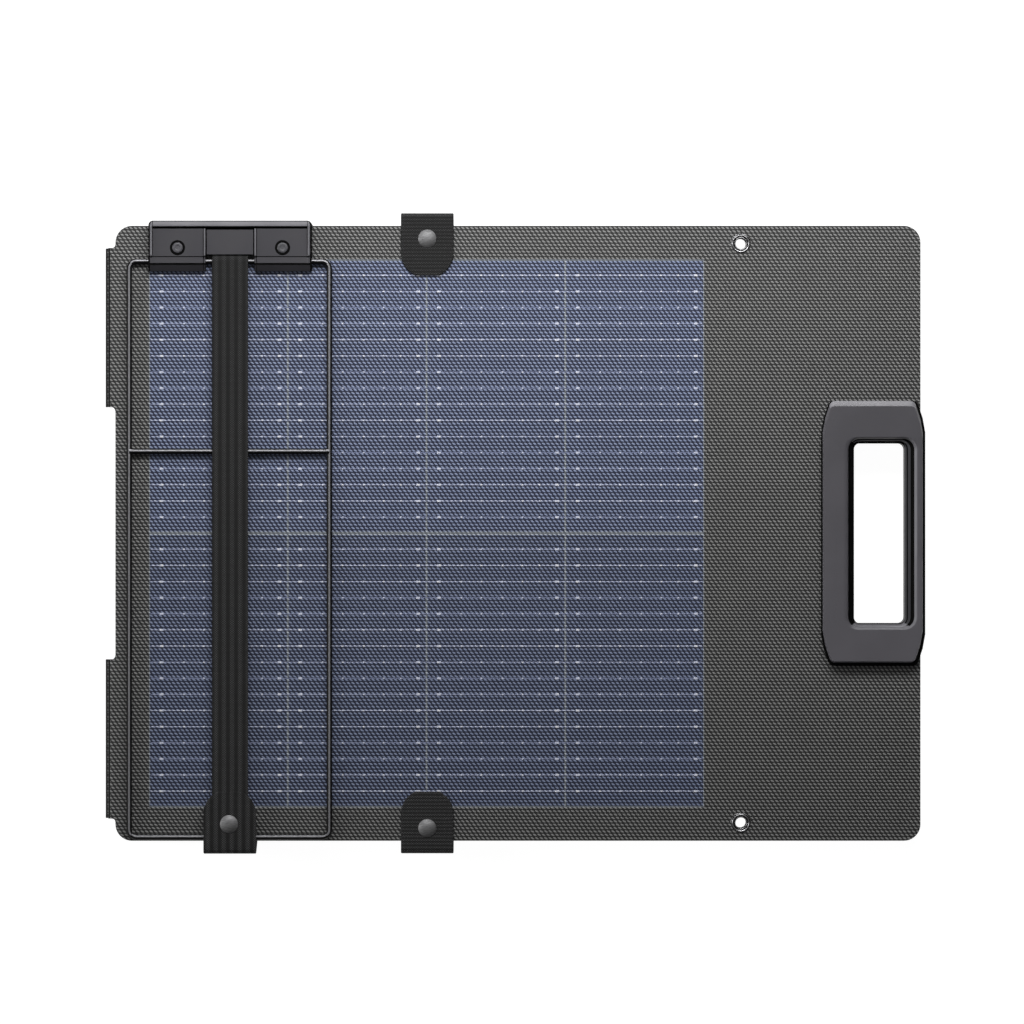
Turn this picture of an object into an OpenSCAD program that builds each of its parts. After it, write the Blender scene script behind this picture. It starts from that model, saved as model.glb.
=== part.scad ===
// Folding solar blanket, closed and lying flat with its outer leaf face up.
// Four laminated leaves are joined by fabric folds. Leaf 1 is on top and leaf 4 at the bottom.
// Frame: millimetres, +X to the handle edge, +Y to the bracket edge, +Z up.
// Origin: the middle of the pack's footprint, on the surface it lies on.

/* [Solar cells] */
// Pitch of the half cells along X
cell_pitch_x = 92.2; // [80:0.1:100]
// Pitch of the cell rows along Y
cell_pitch_y = 182.1; // [160:0.1:200]
// Gap between neighbouring cells
cell_gap = 1.2; // [0.8:0.1:2]
// Columns of half cells on a leaf
cell_columns = 4; // [2:1:4]
// Busbar wires across each half cell
wires_per_cell = 16; // [8:1:18]

/* [Leaves] */
// Thickness of one leaf
leaf_t = 3; // [2.4:0.1:4]
// Free gap between folded leaves
leaf_gap = 0.6; // [0.5:0.1:1]
// Border between the cells and the fold edge of a leaf
fold_border = 22.3; // [16:0.1:28]
// Border between the cells and the other edge of a middle leaf
free_border = 9.1; // [6:0.1:10]
// Border above and below the cells
side_border = 22.2; // [18:0.1:28]
// Blank extension of an end leaf past the middle leaves
extension_l = 134.7; // [125:0.1:150]
// Radius of the leaf corners
corner_r = 11; // [6:0.5:14]

/* [Folds] */
// Width of the fabric between a leaf and the inner fold line
inner_flap = 5; // [4:0.1:6]
// Width of the fabric between a leaf and the outer fold line
outer_flap = 7.2; // [6.6:0.1:9]
// Length of the finger notch in each fold
notch_l = 168; // [120:1:200]
// Distance from the middle of the pack to the far end of a fold strip
strip_end_y = 191; // [170:0.5:195]

/* [Handles] */
// Width of a handle along X
handle_w = 68.5; // [64:0.1:70]
// Length of a handle along Y
handle_l = 176; // [160:0.1:190]
// How far a handle reaches past the edge of its leaf
handle_overhang = 2.7; // [1:0.1:4]
// Width of the grip slot
slot_w = 34; // [28:0.1:34]
// Length of the grip slot
slot_l = 119.6; // [100:0.1:124]
// Width of the rim between the grip slot and the outer edge
slot_rim = 13; // [13:0.1:16]

/* [Kickstands] */
// How far handles and brackets stand proud of a leaf
proud = 7.5; // [7.5:0.1:9]
// Radius of the stand's wire
wire_r = 1.8; // [1.5:0.1:2]
// Width of the stand between its wire centre lines
bail_w = 132.9; // [120:0.1:140]
// Middle of the stand along X
bail_x = -189.4; // [-192:0.1:-186]
// Height of the pivot line on Y
pivot_y = 180.6; // [178:0.1:182]
// Bottom bar's centre line on Y
bail_end_y = -201.7; // [-202:0.1:-198]
// Cross bar's centre line on Y
cross_bar_y = 54.4; // [30:0.1:80]
// Width of the hold-down strap
strap_w = 24; // [20:0.5:28]

/* [Closures] */
// Width of a closing tab
tab_w = 35; // [30:0.5:40]
// Middle of the two middle tabs along X
mid_tab_x = -58; // [-70:1:-40]
// How far a tab reaches over the face, from the leaf's edge
tab_reach = 32.8; // [28:0.1:36]
// Distance between a middle snap and the leaf's edge
snap_inset = 8.5; // [8:0.1:12]

/* [Hardware] */
// Radius of a grommet's flange
grommet_flange_r = 6.6; // [5.5:0.1:7]
// Radius of a grommet's clear hole
grommet_hole_r = 3.6; // [3:0.1:4]
// Distance of a grommet past the cells
grommet_offset = 24.5; // [22:0.1:28]
// Distance of a grommet from the leaf's long edge
grommet_inset = 11.8; // [11:0.1:14]

/* [Hidden] */
$fn = 48;

slack = 0.3;                    // free gap between soft pieces
fit = 0.05;                     // running clearance round a shaft or a post
skin_t = 0.4;
cell_t = 0.3;
ribbon_t = 0.2;
shell_t = 2.5;
web_t = 1.2;                    // thickness of the webbing

pitch_z = leaf_t + leaf_gap;
field_l = cell_columns * cell_pitch_x;
field_w = 2 * cell_pitch_y;
leaf_w = field_w + 2 * side_border;
mid_leaf_l = fold_border + field_l + free_border;
end_leaf_l = mid_leaf_l + extension_l;
total_l = outer_flap + end_leaf_l + handle_overhang;
leaf_x = outer_flap - total_l / 2;              // fold edge of every leaf
field_x = leaf_x + fold_border;
end_leaf_x = leaf_x + end_leaf_l;
mid_leaf_x = leaf_x + mid_leaf_l;

fold_12_x = leaf_x - inner_flap - 0.2;
fold_34_x = leaf_x - outer_flap - 0.2;
fold_23_x = mid_leaf_x + outer_flap - 1;

handle_x = total_l / 2 - handle_w;
slot_x = total_l / 2 - slot_rim - slot_w;
handle_inner_t = 3.5;
handle_deck_t = 2.5;
handle_chamfer_x = 5.5;
handle_chamfer_y = 21;
handle_bevel = 2.6;
recess_d = 2.2;
slot_corner_r = 4;
screw_r = 1.5;
screw_x = 9;                                    // screws from the handle's inner edge
screw_y = 72;

wire_h = 0.8 + wire_r;                          // wire's axis above the leaf
strap_h = wire_h + wire_r + slack;              // strap's lower face above the leaf
post_r = 2.9;
socket_r = 3.2;
post_top = proud;                               // snap post on a strap
stud_top = 1.9;                                 // snap post on the leaf's face
strap_snap_y = -192.9;

bracket_l = 107.4;
bracket_x = bail_x + 0.6;                       // middle of the bracket and the strap along X
bracket_top_y = 207.5;
bracket_step_y = 184.5;                         // lower edge of the bracket's middle part
bracket_low_y = 174;                            // lower edge of its two lobes
lobe_w = 37.4;
rivet_x = 34.85;
rivet_y = 189.5;

tab_foot_y = leaf_w / 2 + 0.9;                  // lower hinge line of a tab
tab_turn_y = leaf_w / 2 + 7.7;                  // upper hinge line of a tab
tab_foot_z = proud + leaf_t / 2;
tab_round = [[9, 0], [5, 3], [1.9, 7.3], [0, 12.6]];  // tip's outline: in from the side, up from the tip
hinge_clear = 1.3;                              // webbing starts this far from a hinge line
snap_y = leaf_w / 2 - snap_inset;
mid_tab_z = slack;                              // lower face of a middle tab above the leaf
left_tab_z = strap_h + web_t + 1.3 * slack;     // the left tab lies over the strap

box_x = 158;
box_l = 40;
box_w = 60;
box_h = 6.6;
box_wall = 1.2;
lid_t = 1.4;
gland_r = 3.1;
gland_bore_r = 2;
gland_l = 9;
gland_h = 3.15;                                 // gland's axis above the leaf

// Lower face of leaf k, with leaf 4 at the bottom
function leaf_z(k) = proud + (4 - k) * pitch_z;
function is_end(k) = k == 1 || k == 4;
function leaf_end_x(k) = is_end(k) ? end_leaf_x : mid_leaf_x;

// Puts the back face of leaf k at z = 0 with the outside at +Z. The leaves face each other in turn.
module on_leaf(k) {
  if (k % 2 == 1) translate([0, 0, leaf_z(k) + leaf_t]) children();
  else translate([0, 0, leaf_z(k)]) mirror([0, 0, 1]) children();
}

// Rounded plate made of exact arcs, so that holes in it stay true bores
module plate(x0, x1, y0, y1, r, t) {
  linear_extrude(t) union() {
    translate([x0 + r, y0]) square([x1 - x0 - 2 * r, y1 - y0]);
    translate([x0, y0 + r]) square([x1 - x0, y1 - y0 - 2 * r]);
    for (x = [x0 + r, x1 - r], y = [y0 + r, y1 - r]) translate([x, y]) circle(r);
  }
}

module grommet_places() {
  for (s = [-1, 1])
    translate([field_x + field_l + grommet_offset, s * (leaf_w / 2 - grommet_inset), 0]) children();
}

module screw_places() {
  for (x = [handle_x + screw_x, total_l / 2 - screw_x], s = [-1, 1])
    translate([x, s * screw_y, 0]) children();
}

module rivet_places() {
  for (s = [-1, 1]) translate([bracket_x + s * rivet_x, rivet_y, 0]) children();
}

// One layer of leaf k between two depths, with the holes of an end leaf
module leaf_layer(k, z0, t) {
  difference() {
    translate([0, 0, z0]) plate(leaf_x, leaf_end_x(k), -leaf_w / 2, leaf_w / 2, corner_r, t);
    if (is_end(k)) translate([0, 0, z0 - 1]) {
      slot_block(shell_t + 0.2, 0, t + 2);
      grommet_places() cylinder(r = grommet_hole_r + 0.9, h = t + 2);
      screw_places() cylinder(r = screw_r + 0.2, h = t + 2);
      rivet_places() cylinder(r = 2.1, h = t + 2);
    }
  }
}

// ---- Leaves ----

module leaf_board(k) {
  color([0.16, 0.16, 0.17]) on_leaf(k) difference() {
    leaf_layer(k, skin_t - leaf_t, leaf_t - 2 * skin_t);
    translate([field_x, -field_w / 2, -skin_t - cell_t - ribbon_t]) cube([field_l, field_w, 2]);
  }
}

module leaf_cells(k) {
  color([0.2, 0.24, 0.38]) on_leaf(k)
  for (i = [0:cell_columns - 1], j = [0, 1])
    translate([field_x + i * cell_pitch_x + cell_gap / 2,
      (j - 1) * cell_pitch_y + cell_gap / 2, -skin_t - ribbon_t - cell_t])
      cube([cell_pitch_x - cell_gap, cell_pitch_y - cell_gap, cell_t]);
}

// Busbar wires on the cells, joined by a bus ribbon at each end of the rows
module leaf_ribbons(k) {
  wire_pitch = cell_pitch_y / (wires_per_cell + 1);
  wire_w = 0.7;
  bus_w = 3;
  color([0.8, 0.82, 0.85]) on_leaf(k) translate([0, 0, -skin_t - ribbon_t]) union() {
    for (j = [-1, 1], i = [1:wires_per_cell])
      translate([field_x + 1, j * i * wire_pitch - wire_w / 2, 0]) cube([field_l - 2, wire_w, ribbon_t]);
    for (x = [field_x + 1, field_x + field_l - 1 - bus_w])
      translate([x, -field_w / 2 + 4, 0]) cube([bus_w, field_w - 8, ribbon_t]);
  }
}

module leaf_front_skin(k) {
  color([0.13, 0.14, 0.18]) on_leaf(k) leaf_layer(k, -leaf_t, skin_t);
}

module leaf_back_skin(k) {
  color([0.36, 0.36, 0.36]) on_leaf(k) leaf_layer(k, -skin_t, skin_t);
}

// ---- Folds ----

// Half of a fabric fold: from the hinge axis it curves up to the leaf's back face and runs on to its edge
module fold_strip(axis_x, axis_z, flap, to_x, to_z) {
  t = 0.8;
  seam = 0.2;                                   // the two halves stop this far from the fold line
  r = pitch_z / 2 + leaf_t / 2;
  profile = concat(
    [for (a = [0:15:90]) [seam + r - r * cos(a), seam + (r - seam) * sin(a)]],
    [[flap - 0.1, r], [flap - 0.1, r - t]],
    [for (a = [90:-15:0]) [seam + r - (r - t) * cos(a), seam + (r - t - seam) * sin(a)]]);
  color([0.3, 0.3, 0.3])
  for (y = [-notch_l / 2, strip_end_y])
    translate([axis_x, y, axis_z]) rotate([90, 0, 0]) linear_extrude(strip_end_y - notch_l / 2)
      polygon([for (p = profile) [to_x * p.x, to_z * p.y]]);
}

function fold_z(k) = leaf_z(k) - leaf_gap / 2;  // hinge axis between leaf k and the leaf below it

// ---- Grommets, handles ----

module grommets(k) {
  flange_t = 0.8;
  color([0.8, 0.8, 0.82]) on_leaf(k) grommet_places() difference() {
    union() {
      cylinder(r = grommet_flange_r, h = flange_t);
      translate([0, 0, -leaf_t]) cylinder(r = grommet_hole_r + 0.85, h = leaf_t);
      translate([0, 0, -leaf_t - flange_t]) cylinder(r = grommet_flange_r, h = flange_t);
    }
    translate([0, 0, -leaf_t - flange_t - 1]) cylinder(r = grommet_hole_r, h = leaf_t + 2 * flange_t + 2);
  }
}

// Outline of a handle: a long rectangle with slender slanted corners
module handle_outline(inset) {
  x0 = handle_x + inset;
  x1 = total_l / 2 - inset;
  y1 = handle_l / 2 - inset;
  cx = handle_chamfer_x;
  cy = handle_chamfer_y;
  polygon([
    [x0 + cx, -y1], [x1 - cx, -y1], [x1, -y1 + cy], [x1, y1 - cy],
    [x1 - cx, y1], [x0 + cx, y1], [x0, y1 - cy], [x0, -y1 + cy]]);
}

module slot_block(grow, z0, h) {
  translate([0, 0, z0]) plate(slot_x - grow, slot_x + slot_w + grow,
    -slot_l / 2 - grow, slot_l / 2 + grow, slot_corner_r + grow / 2, h);
}

// Outer shell of a handle: a hollow cap with a dished grip slot, whose collar passes through the leaf
module handle_outer(k) {
  color([0.32, 0.32, 0.34]) on_leaf(k) difference() {
    union() {
      difference() {
        hull() {
          linear_extrude(proud - handle_bevel) handle_outline(0);
          linear_extrude(proud) handle_outline(handle_bevel);
        }
        translate([0, 0, -1]) linear_extrude(proud - handle_deck_t + 1) handle_outline(shell_t);
      }
      slot_block(shell_t + 3.2, 0, proud);
      slot_block(shell_t, -leaf_t, leaf_t);
      screw_places() cylinder(r = 3.4, h = proud - 1);
    }
    slot_block(0, -leaf_t - 1, leaf_t + proud + 2);
    slot_block(3, proud - recess_d, recess_d + 1);
    screw_places() translate([0, 0, -1]) cylinder(r = screw_r + fit, h = 5.6);
  }
}

module handle_inner(k) {
  color([0.26, 0.26, 0.28]) on_leaf(k) difference() {
    translate([0, 0, -leaf_t - handle_inner_t]) linear_extrude(handle_inner_t) handle_outline(1);
    slot_block(0, -leaf_t - handle_inner_t - 1, handle_inner_t + 2);
    screw_places() translate([0, 0, -leaf_t - handle_inner_t - 1]) cylinder(r = screw_r + fit, h = 9);
    screw_places() translate([0, 0, -leaf_t - handle_inner_t - 1]) cylinder(r = 3.2, h = 2.8);
  }
}

module handle_screws(k) {
  color([0.6, 0.6, 0.62]) on_leaf(k) screw_places() translate([0, 0, -leaf_t - handle_inner_t + 0.3]) {
    cylinder(r = 3, h = 1.4);
    translate([0, 0, 1.4]) cylinder(r = screw_r, h = leaf_t + handle_inner_t + 2);
  }
}

// ---- Kickstands ----

module bracket(k) {
  rim = 2.6;
  floor_z = 5.9;                                // floor of the sunk panels
  x0 = bracket_x - bracket_l / 2;
  middle_w = bracket_l - 2 * lobe_w;
  color([0.33, 0.33, 0.35]) on_leaf(k) difference() {
    union() {
      translate([x0, bracket_step_y, 0]) cube([bracket_l, bracket_top_y - bracket_step_y - rim, proud]);
      plate(x0, x0 + bracket_l, bracket_top_y - 8, bracket_top_y, 3, proud - 1.2);
      plate(x0 + 1.2, x0 + bracket_l - 1.2, bracket_top_y - 8, bracket_top_y - 1.2, 3, proud);
      for (x = [x0, x0 + bracket_l - lobe_w]) {
        translate([x, bracket_low_y, 0]) cube([lobe_w, bracket_step_y - bracket_low_y, 5.2]);
        translate([x, bracket_low_y + 5, 0]) cube([lobe_w, bracket_step_y - bracket_low_y - 5, floor_z]);
      }
    }
    for (x = [x0, x0 + bracket_l - lobe_w])
      translate([x + (x == x0 ? rim : 1), bracket_step_y - 1, floor_z])
        cube([lobe_w - rim - 1, bracket_top_y - rim - 1.4 - bracket_step_y + 1, 5]);
    // pocket for the middle cover, open below it for the strap's root
    translate([x0 + lobe_w, bracket_step_y - 1, 3.4])
      cube([middle_w, bracket_top_y - rim - 1.4 - bracket_step_y + 1, 5]);
    translate([x0 - 1, pivot_y, wire_h]) rotate([0, 90, 0]) cylinder(r = wire_r + fit, h = bracket_l + 2);
    rivet_places() {
      translate([0, 0, -1]) cylinder(r = 2.05, h = 9);
      translate([0, 0, 4]) cylinder(r = 5, h = 5);
    }
  }
}

// Plate over the strap's root, standing on two feet in the bracket's middle pocket
module bracket_cover(k) {
  w = bracket_l - 2 * lobe_w - 0.6;
  d = bracket_top_y - 4 - bracket_step_y - 0.7;
  color([0.31, 0.31, 0.33]) on_leaf(k) translate([bracket_x - w / 2, bracket_step_y + 0.3, 3.4]) {
    translate([0, 0, 1.7]) cube([w, d, 1.4]);
    for (x = [0, w - 2]) translate([x, 0, 0]) cube([2, d, 1.7]);
  }
}

module bracket_rivets(k) {
  color([0.36, 0.36, 0.38]) on_leaf(k) rivet_places() {
    translate([0, 0, 4]) cylinder(r = 3.8, h = 2.1);
    translate([0, 0, -leaf_t + skin_t]) cylinder(r = 2, h = leaf_t - skin_t + 4);
  }
}

module rod(from, along, length) {
  translate(from) rotate(along == "x" ? [0, 90, 0] : [-90, 0, 0]) cylinder(r = wire_r, h = length);
}

// Closed wire frame with a welded cross bar
module bail(k) {
  bend = 5;
  x0 = bail_x - bail_w / 2;
  x1 = bail_x + bail_w / 2;
  color([0.08, 0.08, 0.08]) on_leaf(k) translate([0, 0, wire_h]) union() {
    for (y = [pivot_y, bail_end_y]) rod([x0 + bend, y, 0], "x", bail_w - 2 * bend);
    rod([x0, cross_bar_y, 0], "x", bail_w);
    for (x = [x0, x1]) rod([x, bail_end_y + bend, 0], "y", pivot_y - bail_end_y - 2 * bend);
    for (c = [[x0 + bend, pivot_y - bend, 90], [x1 - bend, pivot_y - bend, 0],
      [x1 - bend, bail_end_y + bend, 270], [x0 + bend, bail_end_y + bend, 180]])
      translate([c[0], c[1], 0]) rotate([0, 0, c[2]])
        rotate_extrude(angle = 90) translate([bend, 0]) circle(wire_r);
  }
}

module strap(k) {
  color([0.13, 0.13, 0.13]) on_leaf(k) difference() {
    translate([bracket_x - strap_w / 2, bail_end_y - wire_r, strap_h])
      cube([strap_w, pivot_y + 2 - bail_end_y + wire_r, web_t]);
    translate([bail_x, strap_snap_y, strap_h - 1]) cylinder(r = 3.8, h = web_t + 2);
  }
}

// Snap on the strap's end: socket below, post above
module strap_snap(k) {
  color([0.25, 0.25, 0.26]) on_leaf(k) translate([bail_x, strap_snap_y, 0]) difference() {
    union() {
      translate([0, 0, slack]) cylinder(r = 5.5, h = strap_h - slack);
      translate([0, 0, strap_h]) cylinder(r = 3.8, h = web_t);
      translate([0, 0, strap_h + web_t]) cylinder(r = 5, h = slack);
      translate([0, 0, strap_h]) cylinder(r = post_r, h = post_top - strap_h);
    }
    translate([0, 0, -1]) cylinder(r = socket_r, h = strap_h + 0.3);
  }
}

module stud(top) {
  cylinder(r = post_r, h = top);
  cylinder(r = 4.5, h = 0.25);
}

// Snap studs riveted to an outer face. Leaf 1 also takes the two middle tabs.
module studs(k) {
  color([0.5, 0.5, 0.5]) on_leaf(k) {
    translate([bail_x, strap_snap_y, 0]) cylinder(r = post_r, h = strap_h - 1.2);
    if (k == 1) for (s = [-1, 1]) translate([mid_tab_x, s * snap_y, 0]) stud(stud_top);
  }
}

// ---- Closing tabs, from leaf 4's edge over leaf 1's face ----

// A tab is drawn at the +Y edge of the pack and mirrored for the other edge
module at_tab(which) {
  x = which == "left" ? bail_x + 0.5 : mid_tab_x;
  if (which == "top") translate([x, 0, 0]) children();
  else mirror([0, 1, 0]) translate([x, 0, 0]) children();
}

function tab_z(which) = leaf_z(1) + leaf_t + (which == "left" ? left_tab_z : mid_tab_z);

module tab_side(which) {
  rise = tab_z(which) + web_t / 2 - tab_foot_z;
  run = tab_turn_y - tab_foot_y;
  length = norm([run, rise]);
  color([0.12, 0.12, 0.12]) at_tab(which) translate([0, tab_foot_y, tab_foot_z])
    rotate([atan2(rise, run), 0, 0]) translate([-tab_w / 2, 0.2, -web_t / 2])
      cube([tab_w, length - hinge_clear - 0.2, web_t]);
}

module tab_end(which) {
  edge = leaf_w / 2;
  tip = edge - tab_reach;
  color([0.14, 0.14, 0.14]) at_tab(which) translate([0, 0, tab_z(which)]) difference() {
    linear_extrude(web_t) for (s = [-1, 1]) polygon(concat(
      [[0, tip]], [for (p = tab_round) [s * (tab_w / 2 - p[0]), tip + p[1]]],
      [[s * tab_w / 2, tab_turn_y - hinge_clear], [0, tab_turn_y - hinge_clear]]));
    translate([which == "left" ? -0.5 : 0, tab_snap_y(which), -1]) cylinder(r = 3.8, h = web_t + 2);
  }
}

function tab_snap_y(which) = which == "left" ? -strap_snap_y : snap_y;

// Domed snap cap with a socket that opens towards the face
module tab_cap(which) {
  dome_r = 6;
  dome_h = 2.3;
  ball_r = (dome_r * dome_r + dome_h * dome_h) / (2 * dome_h);
  color([0.45, 0.45, 0.46]) at_tab(which)
  translate([which == "left" ? -0.5 : 0, tab_snap_y(which), tab_z(which)]) difference() {
    union() {
      cylinder(r = 3.8, h = web_t);
      translate([0, 0, web_t]) intersection() {
        cylinder(r = dome_r + 1, h = dome_h + 1);
        translate([0, 0, dome_h - ball_r]) sphere(ball_r);
      }
    }
    translate([0, 0, -1]) cylinder(r = socket_r, h = web_t + 1.6);
  }
}

// ---- Junction box, in the gap between the two extensions ----

module in_gap() {
  translate([box_x, 0, leaf_z(4) + leaf_t]) children();
}

module junction_box() {
  color([0.1, 0.1, 0.1]) in_gap() difference() {
    translate([0, -box_w / 2, 0]) cube([box_l, box_w, box_h - lid_t]);
    translate([box_wall, -box_w / 2 + box_wall, box_wall])
      cube([box_l - 2 * box_wall, box_w - 2 * box_wall, box_h]);
    translate([box_l / 2 - 2.2, -box_w / 2 - 1, gland_h - 1.8]) cube([4.4, 4, 3.6]);
  }
}

module junction_lid() {
  color([0.14, 0.14, 0.14]) in_gap() translate([0, -box_w / 2, box_h - lid_t]) cube([box_l, box_w, lid_t]);
}

// Round lead gland on the side of the box
module output_gland() {
  color([0.2, 0.2, 0.2]) in_gap()
    translate([box_l / 2, -box_w / 2, gland_h]) rotate([90, 0, 0]) difference() {
      cylinder(r = gland_r, h = gland_l);
      translate([0, 0, -1]) cylinder(r = gland_bore_r, h = gland_l + 2);
    }
}

for (k = [1:4]) {
  leaf_board(k);
  leaf_cells(k);
  leaf_ribbons(k);
  leaf_front_skin(k);
  leaf_back_skin(k);
}
fold_strip(fold_12_x, fold_z(1), inner_flap + 0.2, 1, 1);  // fold_12_strip_1
fold_strip(fold_12_x, fold_z(1), inner_flap + 0.2, 1, -1);  // fold_12_strip_2
fold_strip(fold_23_x, fold_z(2), outer_flap - 1, -1, 1);  // fold_23_strip_2
fold_strip(fold_23_x, fold_z(2), outer_flap - 1, -1, -1);  // fold_23_strip_3
fold_strip(fold_34_x, fold_z(3), outer_flap + 0.2, 1, 1);  // fold_34_strip_3
fold_strip(fold_34_x, fold_z(3), outer_flap + 0.2, 1, -1);  // fold_34_strip_4
for (k = [1, 4]) {
  grommets(k);
  handle_outer(k);
  handle_inner(k);
  handle_screws(k);
  bracket(k);
  bracket_cover(k);
  bracket_rivets(k);
  bail(k);
  strap(k);
  strap_snap(k);
  studs(k);
}
for (which = ["top", "bottom", "left"]) {
  tab_side(which);
  tab_end(which);
  tab_cap(which);
}
junction_box();
junction_lid();
output_gland();
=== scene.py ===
"""Looks of the folding solar blanket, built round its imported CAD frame.

Shapes are worked out in millimetres and written to Blender in metres, in the row frame.
"""
import math

import bmesh
import bpy
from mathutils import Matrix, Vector
from mathutils.geometry import tessellate_polygon


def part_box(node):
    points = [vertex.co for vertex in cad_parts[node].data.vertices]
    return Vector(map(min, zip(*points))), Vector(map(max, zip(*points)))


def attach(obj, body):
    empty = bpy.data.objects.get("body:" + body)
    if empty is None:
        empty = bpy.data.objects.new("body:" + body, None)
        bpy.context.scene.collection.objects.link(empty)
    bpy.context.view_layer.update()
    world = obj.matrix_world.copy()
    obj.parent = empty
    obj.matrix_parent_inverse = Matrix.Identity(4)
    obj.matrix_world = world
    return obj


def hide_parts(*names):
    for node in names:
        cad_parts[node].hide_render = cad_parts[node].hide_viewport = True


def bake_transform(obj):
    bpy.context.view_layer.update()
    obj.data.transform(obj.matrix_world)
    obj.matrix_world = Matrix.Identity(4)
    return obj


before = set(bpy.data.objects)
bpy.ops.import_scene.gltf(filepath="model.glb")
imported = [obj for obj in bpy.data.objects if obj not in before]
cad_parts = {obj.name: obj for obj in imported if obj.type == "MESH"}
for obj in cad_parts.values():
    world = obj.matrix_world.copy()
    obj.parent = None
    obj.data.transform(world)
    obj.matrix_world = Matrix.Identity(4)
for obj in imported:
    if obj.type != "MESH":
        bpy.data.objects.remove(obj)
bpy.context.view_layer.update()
MM = 0.001


# ---- Layout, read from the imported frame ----

def box_mm(node):
    """Lowest and highest corner of a CAD node, in millimetres."""
    lo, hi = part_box(node)
    return [v / MM for v in lo], [v / MM for v in hi]


class Leaf:
    """Leaf k, whose back face is w = 0 with the outside at +w. The leaves face each other in turn."""

    def __init__(self, k):
        back, front = box_mm(f"leaf_{k}_back_skin"), box_mm(f"leaf_{k}_front_skin")
        self.k = k
        self.sign = 1 if k % 2 else -1
        self.z = back[1][2] if self.sign > 0 else back[0][2]
        self.x0, self.x1, self.half_w = back[0][0], back[1][0], back[1][1]
        self.t = abs(self.z - (front[0][2] if self.sign > 0 else front[1][2]))
        self.body = f"leaf_{k}"

    def place(self, points):
        return [(x, y, self.z + self.sign * w) for x, y, w in points]


LEAVES = {k: Leaf(k) for k in (1, 2, 3, 4)}
ENDS = (1, 4)
top = LEAVES[1]
cells_lo, cells_hi = box_mm("leaf_1_cells")
COLUMNS, ROWS = 4, 2
CELL_EDGE = 0.6                     # the CAD cells stop this far inside the cell field
FIELD_X0, FIELD_X1 = cells_lo[0] - CELL_EDGE, cells_hi[0] + CELL_EDGE
FIELD_Y = cells_hi[1] + CELL_EDGE
CELL_X = (FIELD_X1 - FIELD_X0) / COLUMNS
CELL_Y = FIELD_Y
CORNER_R = 11


# ---- Shapes ----

def arc(before, here, after, radius, steps):
    """Points that round the corner at here, on a path that comes from before and goes to after."""
    here = Vector(here)
    u, v = (Vector(before) - here).normalized(), (Vector(after) - here).normalized()
    half = math.acos(max(-1, min(1, u.dot(v)))) / 2
    centre = here + (u + v).normalized() * (radius / math.sin(half))
    start, end = (here + w * (radius / math.tan(half)) - centre for w in (u, v))
    a0 = math.atan2(start.y, start.x)
    turn = (math.atan2(end.y, end.x) - a0 + math.pi) % (2 * math.pi) - math.pi
    angles = [a0 + turn * s / steps for s in range(steps + 1)]
    return [(centre.x + radius * math.cos(a), centre.y + radius * math.sin(a)) for a in angles]


def rounded(corners, radius, inset=0.0, steps=6):
    """Points round a convex outline, counter-clockwise, with its sides moved in and its corners rounded.
    inset is one number, or one each for the sides that face along X, to +Y and to -Y."""
    ix, up, down = inset if isinstance(inset, tuple) else (inset, inset, inset)
    sides = []
    n = len(corners)
    for i in range(n):
        a, b = Vector(corners[i]), Vector(corners[(i + 1) % n])
        d = (b - a).normalized()
        inward = Vector((-d.y, d.x))
        along_y = up if inward.y < 0 else down
        sides.append((a + inward * (ix * abs(inward.x) + along_y * abs(inward.y)), d))
    moved = []
    for i in range(n):
        (p, d), (q, e) = sides[i - 1], sides[i]
        moved.append(p + d * ((q - p).cross(e) / d.cross(e)))
    points = []
    for i in range(n):
        points += arc(moved[i - 1], moved[i], moved[(i + 1) % n], radius, steps)
    return points


def rectangle(x0, x1, y0, y1):
    return [(x0, y0), (x1, y0), (x1, y1), (x0, y1)]


def circle(x, y, r, n=40):
    turns = [2 * math.pi * i / n for i in range(n)]
    return [(x + r * math.cos(a), y + r * math.sin(a)) for a in turns]


HIGHLIGHT_BAR_X = 0.8, 0.1        # a bar along X gets the painted highlight where it faces up and to +Y by more than this
HIGHLIGHT_BAR_Y = 0.96, 0.2       # a bar along Y gets the painted highlight where it faces up by more and to +X by less than this


def painted_highlight_facet(out):
    """Whether a facet that faces this way is painted as the stand's highlight."""
    if abs(out.y) > abs(out.x):
        return out.z > HIGHLIGHT_BAR_X[0] and out.y > HIGHLIGHT_BAR_X[1]
    return out.z > HIGHLIGHT_BAR_Y[0] and out.x < HIGHLIGHT_BAR_Y[1]


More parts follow.
